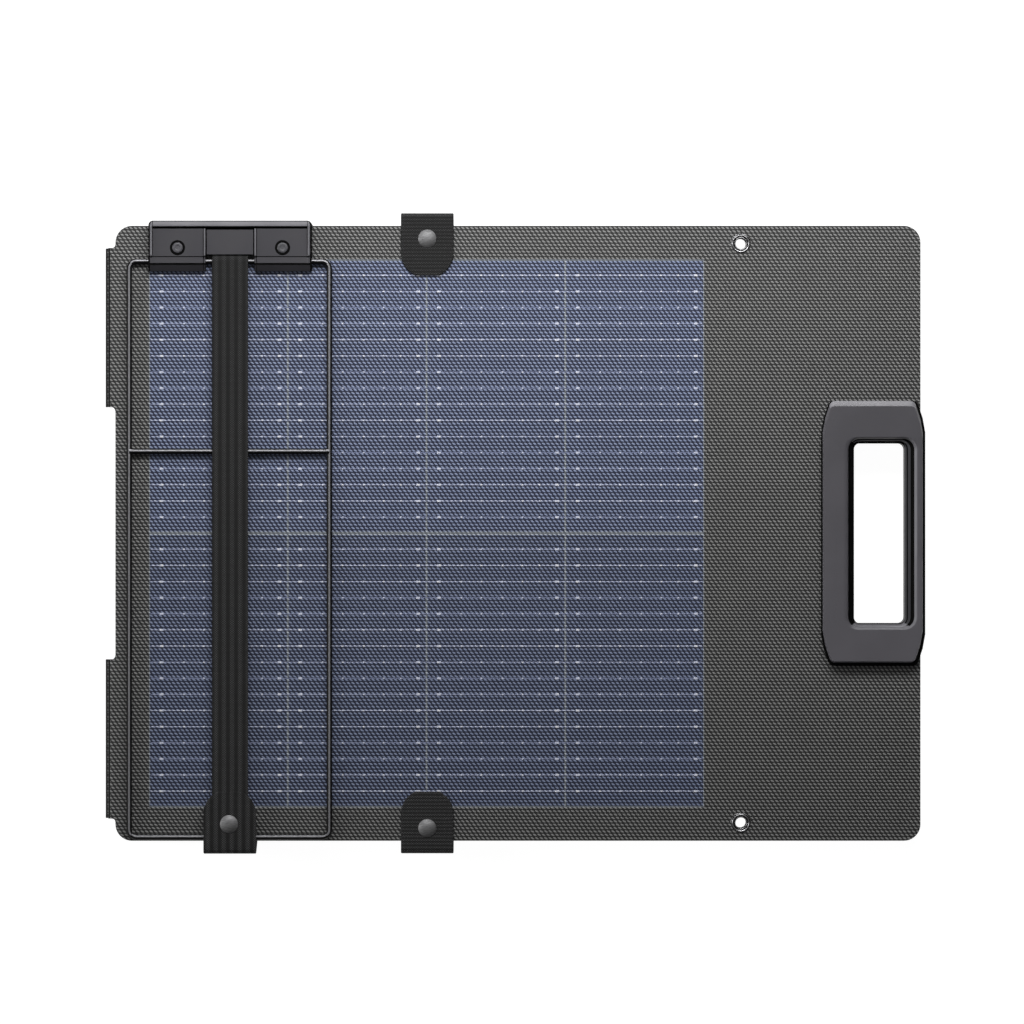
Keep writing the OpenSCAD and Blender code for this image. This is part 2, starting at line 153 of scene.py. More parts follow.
class Shape:
    """Vertices, faces and material numbers of one piece while it is built, in millimetres."""

    def __init__(self):
        self.verts, self.faces, self.mats, self.uv = [], [], [], []

    def ring(self, points, uv=None):
        first = len(self.verts)
        self.verts += points
        self.uv += uv if uv else [(p[0], p[1]) for p in points]
        return list(range(first, first + len(points)))

    def quads(self, a, b, closed=True, mat=0):
        for i in range(len(a) if closed else len(a) - 1):
            j = (i + 1) % len(a)
            self.face((a[i], a[j], b[j], b[i]), mat)

    def face(self, ids, mat=0):
        self.faces.append(tuple(ids))
        self.mats.append(mat)

    def loft(self, rings, closed=True, mat=0):
        for a, b in zip(rings, rings[1:]):
            self.quads(a, b, closed, mat)

    def painted(self, a, b, finish):
        """Quads between two closed rings, whose material number depends on where they are."""
        for i in range(len(a)):
            j = (i + 1) % len(a)
            ids = (a[i], a[j], b[j], b[i])
            self.face(ids, finish(*(sum(self.verts[v][axis] for v in ids) / 4 for axis in (0, 1))))

    def fill(self, *loops, mat=0):
        """Fills a flat outline with holes."""
        ids = [i for loop in loops for i in loop]
        flat = [[Vector((self.verts[i][0], self.verts[i][1], 0)) for i in loop] for loop in loops]
        for t in tessellate_polygon(flat):
            self.face([ids[i] for i in t], mat)

    def block(self, x0, x1, y0, y1, z0, z1, edge=0.0, mat=0):
        """A raised block with its upper edges broken."""
        base = self.ring([(x, y, z0) for x, y in rectangle(x0, x1, y0, y1)])
        crown = self.ring([(x, y, z1) for x, y in rectangle(x0 + edge, x1 - edge, y0 + edge, y1 - edge)])
        self.loft([base, crown], mat=mat)
        self.face(crown, mat)
        self.face(base[::-1], mat)

    def revolve(self, profile, x, y, n=40, joined=False):
        """Turns (radius, height) pairs about the upright line at x, y. A radius of 0 closes to a point."""
        rings = []
        for r, z in profile:
            if r <= 0:
                rings.append(self.ring([(x, y, z)]))
            else:
                rings.append(self.ring([(px, py, z) for px, py in circle(x, y, r, n)]))
        pairs = list(zip(rings, rings[1:]))
        if joined:
            pairs.append((rings[-1], rings[0]))
        for a, b in pairs:
            if len(a) == 1 or len(b) == 1:
                tip, ring = (a[0], b) if len(a) == 1 else (b[0], a)
                for i in range(n):
                    self.face((tip, ring[i], ring[(i + 1) % n]))
            else:
                self.quads(a, b)

    def tube(self, path, r, closed=False, radii=None):
        """A round bar along a path in a level plane, with the facets that face the lamps painted as a
        highlight in material 1.
        """
        rings = []
        n, count = 20, len(path)
        up = Vector((0, 0, 1))
        for i, p in enumerate(path):
            before = path[i - 1] if closed or i else p
            after = path[(i + 1) % count] if closed or i < count - 1 else p
            along = (Vector(after) - Vector(before)).normalized()
            side = along.cross(up).normalized()
            radius = radii[i] if radii else r
            rings.append(self.ring([
                tuple(Vector(p) + (side * math.cos(a) + up * math.sin(a)) * radius)
                for a in (2 * math.pi * j / n for j in range(n))]))
        for i, (a, b) in enumerate(zip(rings, rings[1:] + rings[:1] if closed else rings[1:])):
            middle = Vector(path[i]) + Vector(path[(i + 1) % count])
            for j in range(n):
                m = (j + 1) % n
                ids = (a[j], a[m], b[m], b[j])
                out = sum((Vector(self.verts[v]) for v in ids), Vector()) * 0.25 - middle * 0.5
                self.face(ids, 1 if painted_highlight_facet(out.normalized()) else 0)
        if not closed:
            self.face(rings[0][::-1])
            self.face(rings[-1])


def piece(name, shape, materials, body=None, replaces=(), leaf=None, angle=38):
    """Makes a Blender object of a finished shape, which is in a leaf's own frame where leaf is given."""
    points = leaf.place(shape.verts) if leaf else shape.verts
    mesh = bpy.data.meshes.new(name)
    mesh.from_pydata([(x * MM, y * MM, z * MM) for x, y, z in points], [], shape.faces)
    for m in materials:
        mesh.materials.append(m)
    mesh.polygons.foreach_set("material_index", shape.mats)
    layer = mesh.uv_layers.new(name="weave")
    ids = [0] * len(mesh.loops)
    mesh.loops.foreach_get("vertex_index", ids)
    layer.data.foreach_set("uv", [c * MM for i in ids for c in shape.uv[i]])
    bm = bmesh.new()
    bm.from_mesh(mesh)
    bmesh.ops.recalc_face_normals(bm, faces=bm.faces)
    bm.to_mesh(mesh)
    bm.free()
    mesh.polygons.foreach_set("use_smooth", [True] * len(mesh.polygons))
    mesh.set_sharp_from_angle(angle=math.radians(angle))
    made = bpy.data.objects.new(name, mesh)
    bpy.context.scene.collection.objects.link(made)
    normals = made.modifiers.new("normals", "WEIGHTED_NORMAL")
    normals.keep_sharp = True
    if body:
        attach(made, body)
    if replaces:
        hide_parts(*replaces)
    return made


def soften(node, width, material):
    """Breaks the edges of a CAD node that keeps its shape, and gives it its material."""
    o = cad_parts[node]
    if "custom_normal" in o.data.attributes:
        o.data.attributes.remove(o.data.attributes["custom_normal"])
    o.data.polygons.foreach_set("use_smooth", [True] * len(o.data.polygons))
    weld = o.modifiers.new("weld", "WELD")
    weld.merge_threshold = 0.002 * MM
    flat = o.modifiers.new("flat", "DECIMATE")
    flat.decimate_type = "DISSOLVE"
    flat.angle_limit = math.radians(1)
    if width:
        edges = o.modifiers.new("edges", "BEVEL")
        edges.width = width * MM
        edges.segments = 2
        edges.limit_method = "ANGLE"
        edges.angle_limit = math.radians(40)
    o.modifiers.new("normals", "WEIGHTED_NORMAL")
    o.data.materials.clear()
    o.data.materials.append(material)
    return o


# ---- Materials ----

def linear(c):
    """A 0 to 255 display value as a linear one."""
    return c / 255 / 12.92 if c <= 10 else ((c / 255 + 0.055) / 1.055) ** 2.4


def srgb(r, g=None, b=None):
    """A colour from display values, or a grey from one."""
    return (*(linear(r if c is None else c) for c in (r, g, b)), 1)


class Paint:
    """A procedural material under construction."""

    def __init__(self, name, roughness=0.5, metallic=0.0, specular=0.5, uv=False):
        self.mat = bpy.data.materials.new(name)
        self.mat.use_nodes = True
        self.nt = self.mat.node_tree
        self.bsdf = self.nt.nodes["Principled BSDF"]
        values = {"Roughness": roughness, "Metallic": metallic, "Specular IOR Level": specular}
        for socket, value in values.items():
            self.bsdf.inputs[socket].default_value = value
        if uv:
            pin = self.nt.nodes.new("ShaderNodeUVMap")
            pin.uv_map = "weave"
            self.place = pin.outputs["UV"]
        else:
            self.place = self.nt.nodes.new("ShaderNodeTexCoord").outputs["Object"]

    def join(self, value, socket):
        if isinstance(value, bpy.types.NodeSocket):
            self.nt.links.new(value, socket)
        else:
            socket.default_value = value

    def math(self, op, a, b=0.0, c=0.0):
        n = self.nt.nodes.new("ShaderNodeMath")
        n.operation = op
        for value, socket in zip((a, b, c), n.inputs):
            self.join(value, socket)
        return n.outputs[0]

    def split(self, vector):
        n = self.nt.nodes.new("ShaderNodeSeparateXYZ")
        self.join(vector, n.inputs[0])
        return n.outputs

    def ramp(self, value, lo, hi, to_lo=0.0, to_hi=1.0, smooth=True):
        n = self.nt.nodes.new("ShaderNodeMapRange")
        n.interpolation_type = "SMOOTHSTEP" if smooth else "LINEAR"
        for v, s in zip((value, lo, hi, to_lo, to_hi), n.inputs):
            self.join(v, s)
        return n.outputs[0]

    def mix(self, share, a, b):
        n = self.nt.nodes.new("ShaderNodeMix")
        n.data_type = "RGBA"
        self.join(share, n.inputs["Factor"])
        self.join(a, n.inputs[6])
        self.join(b, n.inputs[7])
        return n.outputs[2]

    def noise(self, scale, detail=2.0, stretch=None):
        n = self.nt.nodes.new("ShaderNodeTexNoise")
        n.inputs["Scale"].default_value = scale
        n.inputs["Detail"].default_value = detail
        place = self.place
        if stretch:
            m = self.nt.nodes.new("ShaderNodeMapping")
            m.inputs["Scale"].default_value = stretch
            self.join(place, m.inputs["Vector"])
            place = m.outputs[0]
        self.join(place, n.inputs["Vector"])
        return n.outputs["Fac"]

    def bump(self, height, depth_mm):
        n = self.nt.nodes.new("ShaderNodeBump")
        n.inputs["Distance"].default_value = depth_mm * MM
        self.join(height, n.inputs["Height"])
        self.join(n.outputs[0], self.bsdf.inputs["Normal"])

    def colour(self, value):
        self.join(value, self.bsdf.inputs["Base Color"])


DASH_X, DASH_Y = 2.98, 2.24         # pitch of the slanted dashes pressed into the film
DASH_LONG, DASH_WIDE = 1.5, 0.64    # half a dash each way, along and across its slant
DASH_SLANT = math.radians(27)
DASH_FOOT, DASH_TOP = 1.25, 0.1     # squared distance, in half dashes, where a dash ends and is full


def dashes(p):
    """0 in the gaps and 1 on the slanted dashes, which are offset by half a pitch in each next row."""
    x, y = p.split(p.place)[:2]
    v = p.math("DIVIDE", y, DASH_Y * MM)
    u = p.math("ADD", p.math("DIVIDE", x, DASH_X * MM), p.math("MULTIPLY", p.math("FLOOR", v), 0.5))
    across = p.math("MULTIPLY", p.math("SUBTRACT", p.math("FRACT", u), 0.5), DASH_X)
    up = p.math("MULTIPLY", p.math("SUBTRACT", p.math("FRACT", v), 0.5), DASH_Y)
    cos, sin = math.cos(DASH_SLANT), math.sin(DASH_SLANT)
    a = p.math("SUBTRACT", p.math("MULTIPLY", across, cos), p.math("MULTIPLY", up, sin))
    b = p.math("ADD", p.math("MULTIPLY", across, sin), p.math("MULTIPLY", up, cos))
    a, b = p.math("DIVIDE", a, DASH_LONG), p.math("DIVIDE", b, DASH_WIDE)
    far = p.math("ADD", p.math("MULTIPLY", a, a), p.math("MULTIPLY", b, b))
    return p.ramp(far, DASH_FOOT, DASH_TOP)


def embossed(name, gap, dash, roughness=0.5, depth=0.16, specular=0.5):
    """Film with slanted dashes pressed into it, a little uneven in tone."""
    p = Paint(name, roughness=roughness, specular=specular, uv=True)
    h = dashes(p)
    tone = p.mix(h, gap, dash)
    cloud = p.ramp(p.noise(60, 3), 0.3, 0.7, 0.0, 0.12, smooth=False)
    p.colour(p.mix(cloud, tone, gap))
    p.bump(h, depth)
    return p.mat


PACK_HALF_Y = 0.2                   # metres, for light and shade painted over the height of the pack


def painted_light_ramp(p, low, high):
    """A share that runs from low at the -Y edge of the pack to high at its +Y edge, for light and shade
    painted over the pack's height.
    """
    place = p.nt.nodes.new("ShaderNodeTexCoord").outputs["Object"]
    return p.ramp(p.split(place)[1], -PACK_HALF_Y, PACK_HALF_Y, low, high, smooth=False)


YARN_X, YARN_Y = 0.85, 0.75         # pitch of the webbing's yarns


def woven(name, dark, light, rib_x=5.3, rib_y=0.0):
    """Webbing: yarns that pass over and under each other, in ribs along it, across it or both."""
    p = Paint(name, roughness=0.75, specular=0.25, uv=True)
    x, y = p.split(p.place)[:2]
    u, v = p.math("DIVIDE", x, YARN_X * MM), p.math("DIVIDE", y, YARN_Y * MM)
    across = p.math("ABSOLUTE", p.math("SINE", p.math("MULTIPLY", u, math.pi)))
    along = p.math("ABSOLUTE", p.math("SINE", p.math("MULTIPLY", v, math.pi)))
    over = p.math("ABSOLUTE", p.math("MODULO", p.math("ADD", p.math("FLOOR", u), p.math("FLOOR", v)), 2.0))
    yarn = p.math("MULTIPLY", p.math("MULTIPLY", across, along), p.ramp(over, 0, 1, 0.3, 1.0))
    tone = yarn
    for place, width in ((x, rib_x), (y, rib_y)):
        if width:
            rib = p.math("SINE", p.math("MULTIPLY", place, 2 * math.pi / (width * MM)))
            tone = p.math("MULTIPLY", tone, p.ramp(rib, -1, 1, 0.3, 1.3))
    # painted shade: the webbing darkens to half its tone toward the -Y edge of the pack, where the key
    # light is weaker
    tone = p.math("MULTIPLY", tone, painted_light_ramp(p, 1.0, 0.5))
    fuzz = p.ramp(p.noise(900, 3), 0.35, 0.7, 0.0, 0.3, smooth=False)
    p.colour(p.mix(fuzz, p.mix(tone, dark, light), dark))
    p.bump(yarn, 0.12)
    return p.mat


def moulded(name, base, spots, roughness=0.5, grain=0.02, specular=0.5, painted_light_along_y=False):
    """Moulded plastic with a fine spark-eroded grain and soft spots of a second tone; on request the second
    tone grows toward -Y, as painted light against the key light's fall-off.
    """
    p = Paint(name, specular=specular)
    fine = p.noise(1500, 2)
    uneven = p.ramp(p.noise(35, 2), 0.35, 0.65)
    if painted_light_along_y:
        # painted light: more of the lighter tone toward the -Y edge of the pack, evening out the key
        # light's fall-off
        uneven = p.math("MULTIPLY_ADD", uneven, 0.1, painted_light_ramp(p, 0.9, 0.0))
    p.colour(p.mix(uneven, base, spots))
    p.join(p.ramp(fine, 0.3, 0.7, roughness - 0.06, roughness + 0.06), p.bsdf.inputs["Roughness"])
    p.bump(fine, grain)
    return p.mat


def metal(name, base, roughness=0.3, metallic=1.0, scratch=0.004):
    """Metal with fine marks that darken it, roughen it and, by scratch in mm, mark its surface."""
    p = Paint(name, metallic=metallic)
    marks = p.noise(400, 3, stretch=(1, 6, 1))
    p.colour(p.mix(p.ramp(marks, 0.4, 0.62), base, tuple(c * 0.8 for c in base[:3]) + (1,)))
    p.join(p.ramp(marks, 0.3, 0.7, roughness - 0.05, roughness + 0.08), p.bsdf.inputs["Roughness"])
    p.bump(marks, scratch)
    return p.mat


film = embossed("film", srgb(38), srgb(150, 150, 149))
cloth = embossed("fold_cloth", srgb(36), srgb(153, 153, 152), roughness=0.6)
cell_back = embossed("cell_back", srgb(38, 43, 66), srgb(150, 163, 196), roughness=0.45)
# painted shade: a darker copy of the back cells for the lower row, for the key light's fall-off toward -Y
cell_back_painted_shade = embossed("cell_back_painted_shade", srgb(35, 40, 60), srgb(139, 151, 182), roughness=0.45)
seam = embossed("seam", srgb(98, 103, 110), srgb(196, 203, 212))
front_film = embossed("front_film", srgb(16, 17, 20), srgb(42, 44, 50), roughness=0.3, depth=0.08)
cell_front = embossed("cell_front", srgb(10, 14, 34), srgb(30, 42, 84), roughness=0.24, depth=0.08,
                      specular=0.7)
seam_front = embossed("seam_front", srgb(18, 19, 24), srgb(40, 42, 50), roughness=0.3, depth=0.08)
wire_film = embossed("wire_ribbon", srgb(120, 128, 160), srgb(215, 220, 240), roughness=0.35, depth=0.05)
solder = embossed("solder_pad", srgb(205, 210, 230), srgb(252, 252, 255), roughness=0.3, depth=0.03)
board = moulded("board", srgb(60, 60, 62), srgb(70, 70, 72), roughness=0.6)
# painted light: the handle plastic lightens toward -Y to offset the key light's fall-off
handle_plastic = moulded("handle_plastic", srgb(70, 69, 73), srgb(104, 102, 108), roughness=0.42,
                         painted_light_along_y=True)
# darker plastic of the handle's inner part, also painted shade on the steps at the slot's right side
inner_and_shade_plastic = moulded("handle_inner_and_painted_shade", srgb(58, 58, 62), srgb(52, 52, 56))
bracket_plastic = moulded("bracket_plastic", srgb(66, 65, 69), srgb(63, 62, 67), roughness=0.42)
# painted highlight: lighter copies of the plastic for bevels, rims and walls that face the lamps
highlight_plastic = moulded("bracket_painted_highlight", srgb(112, 111, 116), srgb(104, 103, 108), roughness=0.42)
bevel_highlight_plastic = moulded("handle_bevel", srgb(132, 131, 136), srgb(126, 125, 130), roughness=0.42)
rivet_plastic = moulded("rivet_plastic", srgb(80, 79, 84), srgb(75, 75, 79))
box_plastic = moulded("box_plastic", srgb(44, 44, 45), srgb(50, 50, 51))
gland_rubber = moulded("gland_rubber", srgb(36), srgb(42), roughness=0.7)
powder = moulded("black_wire", srgb(14, 14, 15), srgb(20, 20, 21), grain=0.01, specular=0.15)
# painted shade: a darker copy of the bracket plastic for its sloping lip
lip_shade_plastic = moulded("bracket_lip_painted_shade", srgb(52, 51, 55), srgb(48, 47, 51))
# painted highlight: a light metal on the stand wire's upper facets, in place of the lamps' reflection in
# its black coat
wire_painted_highlight = metal("wire_painted_highlight", srgb(150, 150, 154), roughness=0.45, metallic=0.45, scratch=0.001)
enamel = metal("snap_enamel", srgb(144, 144, 145), roughness=0.62, metallic=0.85, scratch=0.001)
chrome = metal("grommet_metal", srgb(178, 178, 180), roughness=0.28)
plated = metal("plated_metal", srgb(150, 150, 152))
zinc = metal("screw_metal", srgb(165, 165, 168), roughness=0.35)
webbing = woven("webbing", srgb(20), srgb(100, 100, 101))
tab_webbing = woven("tab_webbing", srgb(20), srgb(104, 104, 105), rib_x=0.0, rib_y=2.4)
# painted shade: near-black cloth for the shaded limb of a fold's roll
fold_shade = moulded("fold_painted_shade", srgb(14), srgb(20), roughness=0.8, grain=0.05, specular=0.2)
# painted shade: near-black for outlines, recess walls and grooves where shade falls
painted_shade_black = moulded("painted_shade_black", srgb(9), srgb(13), roughness=0.8, specular=0.06)


# ---- Leaves: film with a window, half cells, wires ----

handle_lo, handle_hi = box_mm("handle_outer_1")
grommet_lo, grommet_hi = box_mm("grommets_1")
GROMMET_R, GROMMET_HOLE = 6.6, 3.6
GROMMET_X = (grommet_lo[0] + grommet_hi[0]) / 2
GROMMET_Y = grommet_hi[1] - GROMMET_R
SLOT_RIM, SLOT_W, SLOT_Y = 13.0, 34.0, 59.8
SLOT = rectangle(handle_hi[0] - SLOT_RIM - SLOT_W, handle_hi[0] - SLOT_RIM, -SLOT_Y, SLOT_Y)
SLOT_R = 4
SLOT_CLEAR, GROMMET_CLEAR = 2.75, 0.9       # how far the film's holes stand outside slot and bores
SKIN_T, CELLS_T = 0.4, 0.7
WINDOW_R = 0.8
WIRES = 16                          # to each row of cells
# solder pads along one wire of one cell: distance from the cell's left edge, length, width
PAD_PLACES = ((8.3, 2.6, 1.35), (23.2, 1.3, 1.0), (36.5, 1.3, 1.0), (50.5, 1.3, 1.0),
              (63.8, 1.3, 1.0), (75.1, 1.3, 1.0), (86.7, 2.6, 1.35))


def leaf_holes(leaf):
    """Outlines of the holes for the handle and grommets, each a function of how far it is widened."""
    if leaf.k not in ENDS:
        return []
    holes = [lambda e: rounded(SLOT, SLOT_R + 2, -SLOT_CLEAR - e)[::-1]]
    r = GROMMET_HOLE + GROMMET_CLEAR
    for s in (-1, 1):
        holes.append(lambda e, s=s: circle(GROMMET_X, s * GROMMET_Y, r + e)[::-1])
    return holes


def film_cover(leaf, outer, inner):
    """One skin of a leaf from its outer to its inner level, with the cell window left open."""
    shape = Shape()
    edge = 0.12
    step = 1 if outer > inner else -1
    outline = rectangle(leaf.x0, leaf.x1, -leaf.half_w, leaf.half_w)
    loops = [lambda e: rounded(outline, CORNER_R, e, steps=10),
             lambda e: rounded(CELL_FIELD, WINDOW_R, -e, steps=3)[::-1]] + leaf_holes(leaf)
    outers, inners = [], []
    for loop in loops:
        rings = [shape.ring([(x, y, w) for x, y in loop(e)]) for e, w in (
            (edge, outer), (edge * 0.3, outer - step * edge * 0.3), (0, outer - step * edge), (0, inner))]
        shape.loft(rings)
        outers.append(rings[0])
        inners.append(rings[-1])
    shape.fill(*outers)
    shape.fill(*inners)
    return shape


CELL_FIELD = rectangle(FIELD_X0, FIELD_X1, -FIELD_Y, FIELD_Y)
GAP_X, GAP_Y = 1.2, 2.2             # seams between the cells; the wires end GAP_X inside the field
SEAM_LOW, CELL_FOOT, CELL_TOP = 0.12, 0.11, 0.04        # depths under the film's face


def cell_plates(outer, inner):
    """Eight half cells over the strip that shows between them, the lower row as material 2, which the back
    gives a darker copy as painted shade.
    """
    shape = Shape()
    step = 1 if outer > inner else -1
    back = shape.ring([(x, y, outer - step * SEAM_LOW) for x, y in CELL_FIELD])
    deep = shape.ring([(x, y, inner) for x, y in CELL_FIELD])
    shape.loft([back, deep], mat=1)
    shape.face(back, 1)
    shape.face(deep, 1)
    for i in range(COLUMNS):
        for j in range(ROWS):
            x0 = FIELD_X0 + i * CELL_X + GAP_X / 2
            x1 = FIELD_X0 + (i + 1) * CELL_X - GAP_X / 2
            y0 = (j - 1) * CELL_Y + GAP_Y / 2
            y1 = j * CELL_Y - GAP_Y / 2
            shape.block(x0, x1, y0, y1, outer - step * CELL_FOOT, outer - step * CELL_TOP, 0.05,
                        mat=0 if j else 2)
    return shape


def wire_rows(outer, step):
    """Busbar wires over the cells, with solder pads along each as material 1."""
    shape = Shape()
    pitch = CELL_Y / (WIRES + 1)
    base, crest, pad_top = outer - step * 0.05, outer + step * 0.07, outer + step * 0.14
    foot_w, crest_w = 0.33, 0.16            # half widths of a wire at its foot and its crest
    for j in (-1, 1):
        for i in range(1, WIRES + 1):
            y = j * i * pitch
            rings = [shape.ring([(x, y - foot_w, base), (x, y - crest_w, crest),
                                 (x, y + crest_w, crest), (x, y + foot_w, base)])
                     for x in (FIELD_X0 + GAP_X, FIELD_X1 - GAP_X)]
            shape.loft(rings)
            shape.face(rings[0])
            shape.face(rings[1])
            for c in range(COLUMNS):
                for x, length, width in PAD_PLACES:
                    x += FIELD_X0 + c * CELL_X
                    shape.block(x - length / 2, x + length / 2, y - width / 2, y + width / 2,
                                base, pad_top, 0.15, mat=1)
    return shape


for k, leaf in LEAVES.items():
    piece(f"leaf_{k}_back_film", film_cover(leaf, 0, -SKIN_T), [film], leaf.body,
          [f"leaf_{k}_back_skin"], leaf)
    piece(f"leaf_{k}_back_cells", cell_plates(0, -CELLS_T), [cell_back, seam, cell_back_painted_shade], leaf.body,
          [f"leaf_{k}_cells"], leaf, angle=20)
    piece(f"leaf_{k}_back_wires", wire_rows(0, 1), [wire_film, solder], leaf.body,
          [f"leaf_{k}_ribbons"], leaf, angle=20)
    piece(f"leaf_{k}_front_film", film_cover(leaf, -leaf.t, SKIN_T - leaf.t), [front_film], leaf.body,
          [f"leaf_{k}_front_skin"], leaf)
    piece(f"leaf_{k}_front_cells", cell_plates(-leaf.t, SKIN_T - leaf.t),
          [cell_front, seam_front, cell_front], leaf.body, (), leaf, angle=20)
    piece(f"leaf_{k}_front_wires", wire_rows(-leaf.t, -1), [wire_film, solder], leaf.body,
          (), leaf, angle=20)
    soften(f"leaf_{k}_board", 0, board)


# ---- Fabric folds ----

NOTCH_Y = 84.0                      # the finger notch in a fold reaches this far each way
CLOTH_T, CLOTH_END = 0.8, 1.4       # thickness, and how far inside its CAD strip a length ends
CLOTH_INNER_R, CLOTH_OUTER_R = 3.3, 2.4     # fillets at a length's notch end and outer end
FOLD_STEEP = 0.87                   # a fold faces up or down beyond this; its steeper faces round the roll are painted black as shade


def fillet(radius, distance):
    """How far a round corner has drawn back at a distance from its edge."""
    return radius - math.sqrt(max(0, radius ** 2 - max(0, radius - distance) ** 2))


def fold_cloth(k, edge_x, out):
    """Fabric round the edges of leaves k and k + 1, in two lengths with a finger notch between them."""
    name, upper, lower = f"fold_{k}{k + 1}", f"leaf_{k}", f"leaf_{k + 1}"
    nodes = [f"{name}_strip_{k}", f"{name}_strip_{k + 1}"]
    node_lo, node_hi = box_mm(nodes[0])
    y1 = node_hi[1] - CLOTH_END
    z_hi = max(box_mm(n)[1][2] for n in nodes)
    z_lo = min(box_mm(n)[0][2] for n in nodes)
    axis_x = node_lo[0] if out < 0 else node_hi[0]
    r, mid = (z_hi - z_lo) / 2, (z_hi + z_lo) / 2
    turn = axis_x - out * r
    flat = [edge_x - out * 0.05] + [edge_x + (turn - edge_x) * i / 4 for i in range(1, 5)]
    # (x, z) and the way the fabric faces there
    path = [(x, z_hi, 0, 1) for x in flat]
    for i in range(1, 17):
        a = math.pi * i / 16
        path.append((turn + out * r * math.sin(a), mid + r * math.cos(a), out * math.sin(a), math.cos(a)))
    path += [(x, z_lo, 0, -1) for x in reversed(flat[:-1])]
    length, lengths = 0.0, [0.0]
    for p, q in zip(path, path[1:]):
        length += math.hypot(q[0] - p[0], q[1] - p[1])
        lengths.append(length)
    shape = Shape()
    columns = 12
    for s in (-1, 1):
        outside, inside = [], []
        for (x, z, nx, nz), along in zip(path, lengths):
            near = min(along, length - along)
            a, b = NOTCH_Y - fillet(CLOTH_INNER_R, near), y1 + fillet(CLOTH_OUTER_R, near)
            ys = [s * (a + (b - a) * i / columns) for i in range(columns + 1)]
            u = path[0][0] + out * along
            outside.append(shape.ring([(x, y, z) for y in ys], [(u, y) for y in ys]))
            inside.append(shape.ring([(x - nx * CLOTH_T, y, z - nz * CLOTH_T) for y in ys],
                                     [(u, y) for y in ys]))
        for i, (a, b) in enumerate(zip(outside, outside[1:])):
            steepest = max(abs(path[i][3]), abs(path[i + 1][3]))
            # painted shade: the steep faces round the roll go black
            shape.quads(a, b, closed=False, mat=1 if steepest < FOLD_STEEP else 0)
        shape.loft(inside, closed=False)
        for a, b in ((outside[0], inside[0]), (outside[-1], inside[-1])):
            shape.quads(a, b, closed=False)
        for end in (0, -1):
            shape.quads([row[end] for row in outside], [row[end] for row in inside], closed=False)
    made = piece(name, shape, [cloth, fold_shade], None, nodes, angle=50)
    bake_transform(made)


fold_cloth(1, top.x0, -1)
fold_cloth(2, LEAVES[2].x1, 1)
fold_cloth(3, top.x0, -1)


# ---- Handles ----

